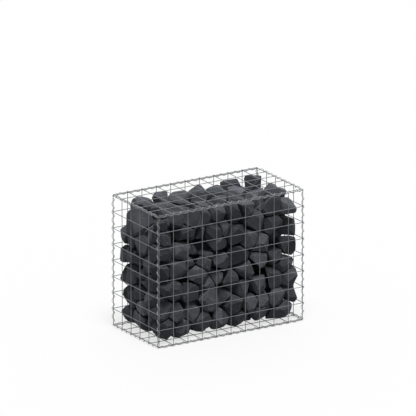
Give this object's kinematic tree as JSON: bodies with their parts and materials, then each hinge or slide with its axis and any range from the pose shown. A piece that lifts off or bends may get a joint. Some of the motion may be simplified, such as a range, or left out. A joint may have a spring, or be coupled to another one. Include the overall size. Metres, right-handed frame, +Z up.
{
  "type": "filled gabion basket wall block",
  "caption": "Free-standing gabion: a welded wire mesh basket laced by spiral binders and filled with broken stone, for walls and retaining works.",
  "frame": {"origin": "on the ground under the middle of the basket", "axes": "+X along the wall's length, -Y towards the front face, +Z up"},
  "size_m": [1.0302, 0.5272, 0.8267],
  "materials": {
    "mesh_wire": "zinc-aluminium coated, dull",
    "spiral_wire": "zinc-aluminium coated, satin",
    "stone": "broken basalt, rough"
  },
  "bodies": {
    "root": {"front_panel": "mesh_wire", "back_panel": "mesh_wire", "left_panel": "mesh_wire", "right_panel": "mesh_wire", "base_panel": "mesh_wire", "lid_panel": "mesh_wire", "bottom_front_spiral": "spiral_wire", "bottom_back_spiral": "spiral_wire", "bottom_left_spiral": "spiral_wire", "bottom_right_spiral": "spiral_wire", "top_front_spiral": "spiral_wire", "top_back_spiral": "spiral_wire", "top_left_spiral": "spiral_wire", "top_right_spiral": "spiral_wire", "front_left_spiral": "spiral_wire", "front_right_spiral": "spiral_wire", "back_left_spiral": "spiral_wire", "back_right_spiral": "spiral_wire", "stone_course_1": "stone", "stone_course_2": "stone", "stone_course_3": "stone", "stone_course_4": "stone", "stone_course_5": "stone", "stone_course_6": "stone", "stone_course_7": "stone"}
  },
  "joints": []
}
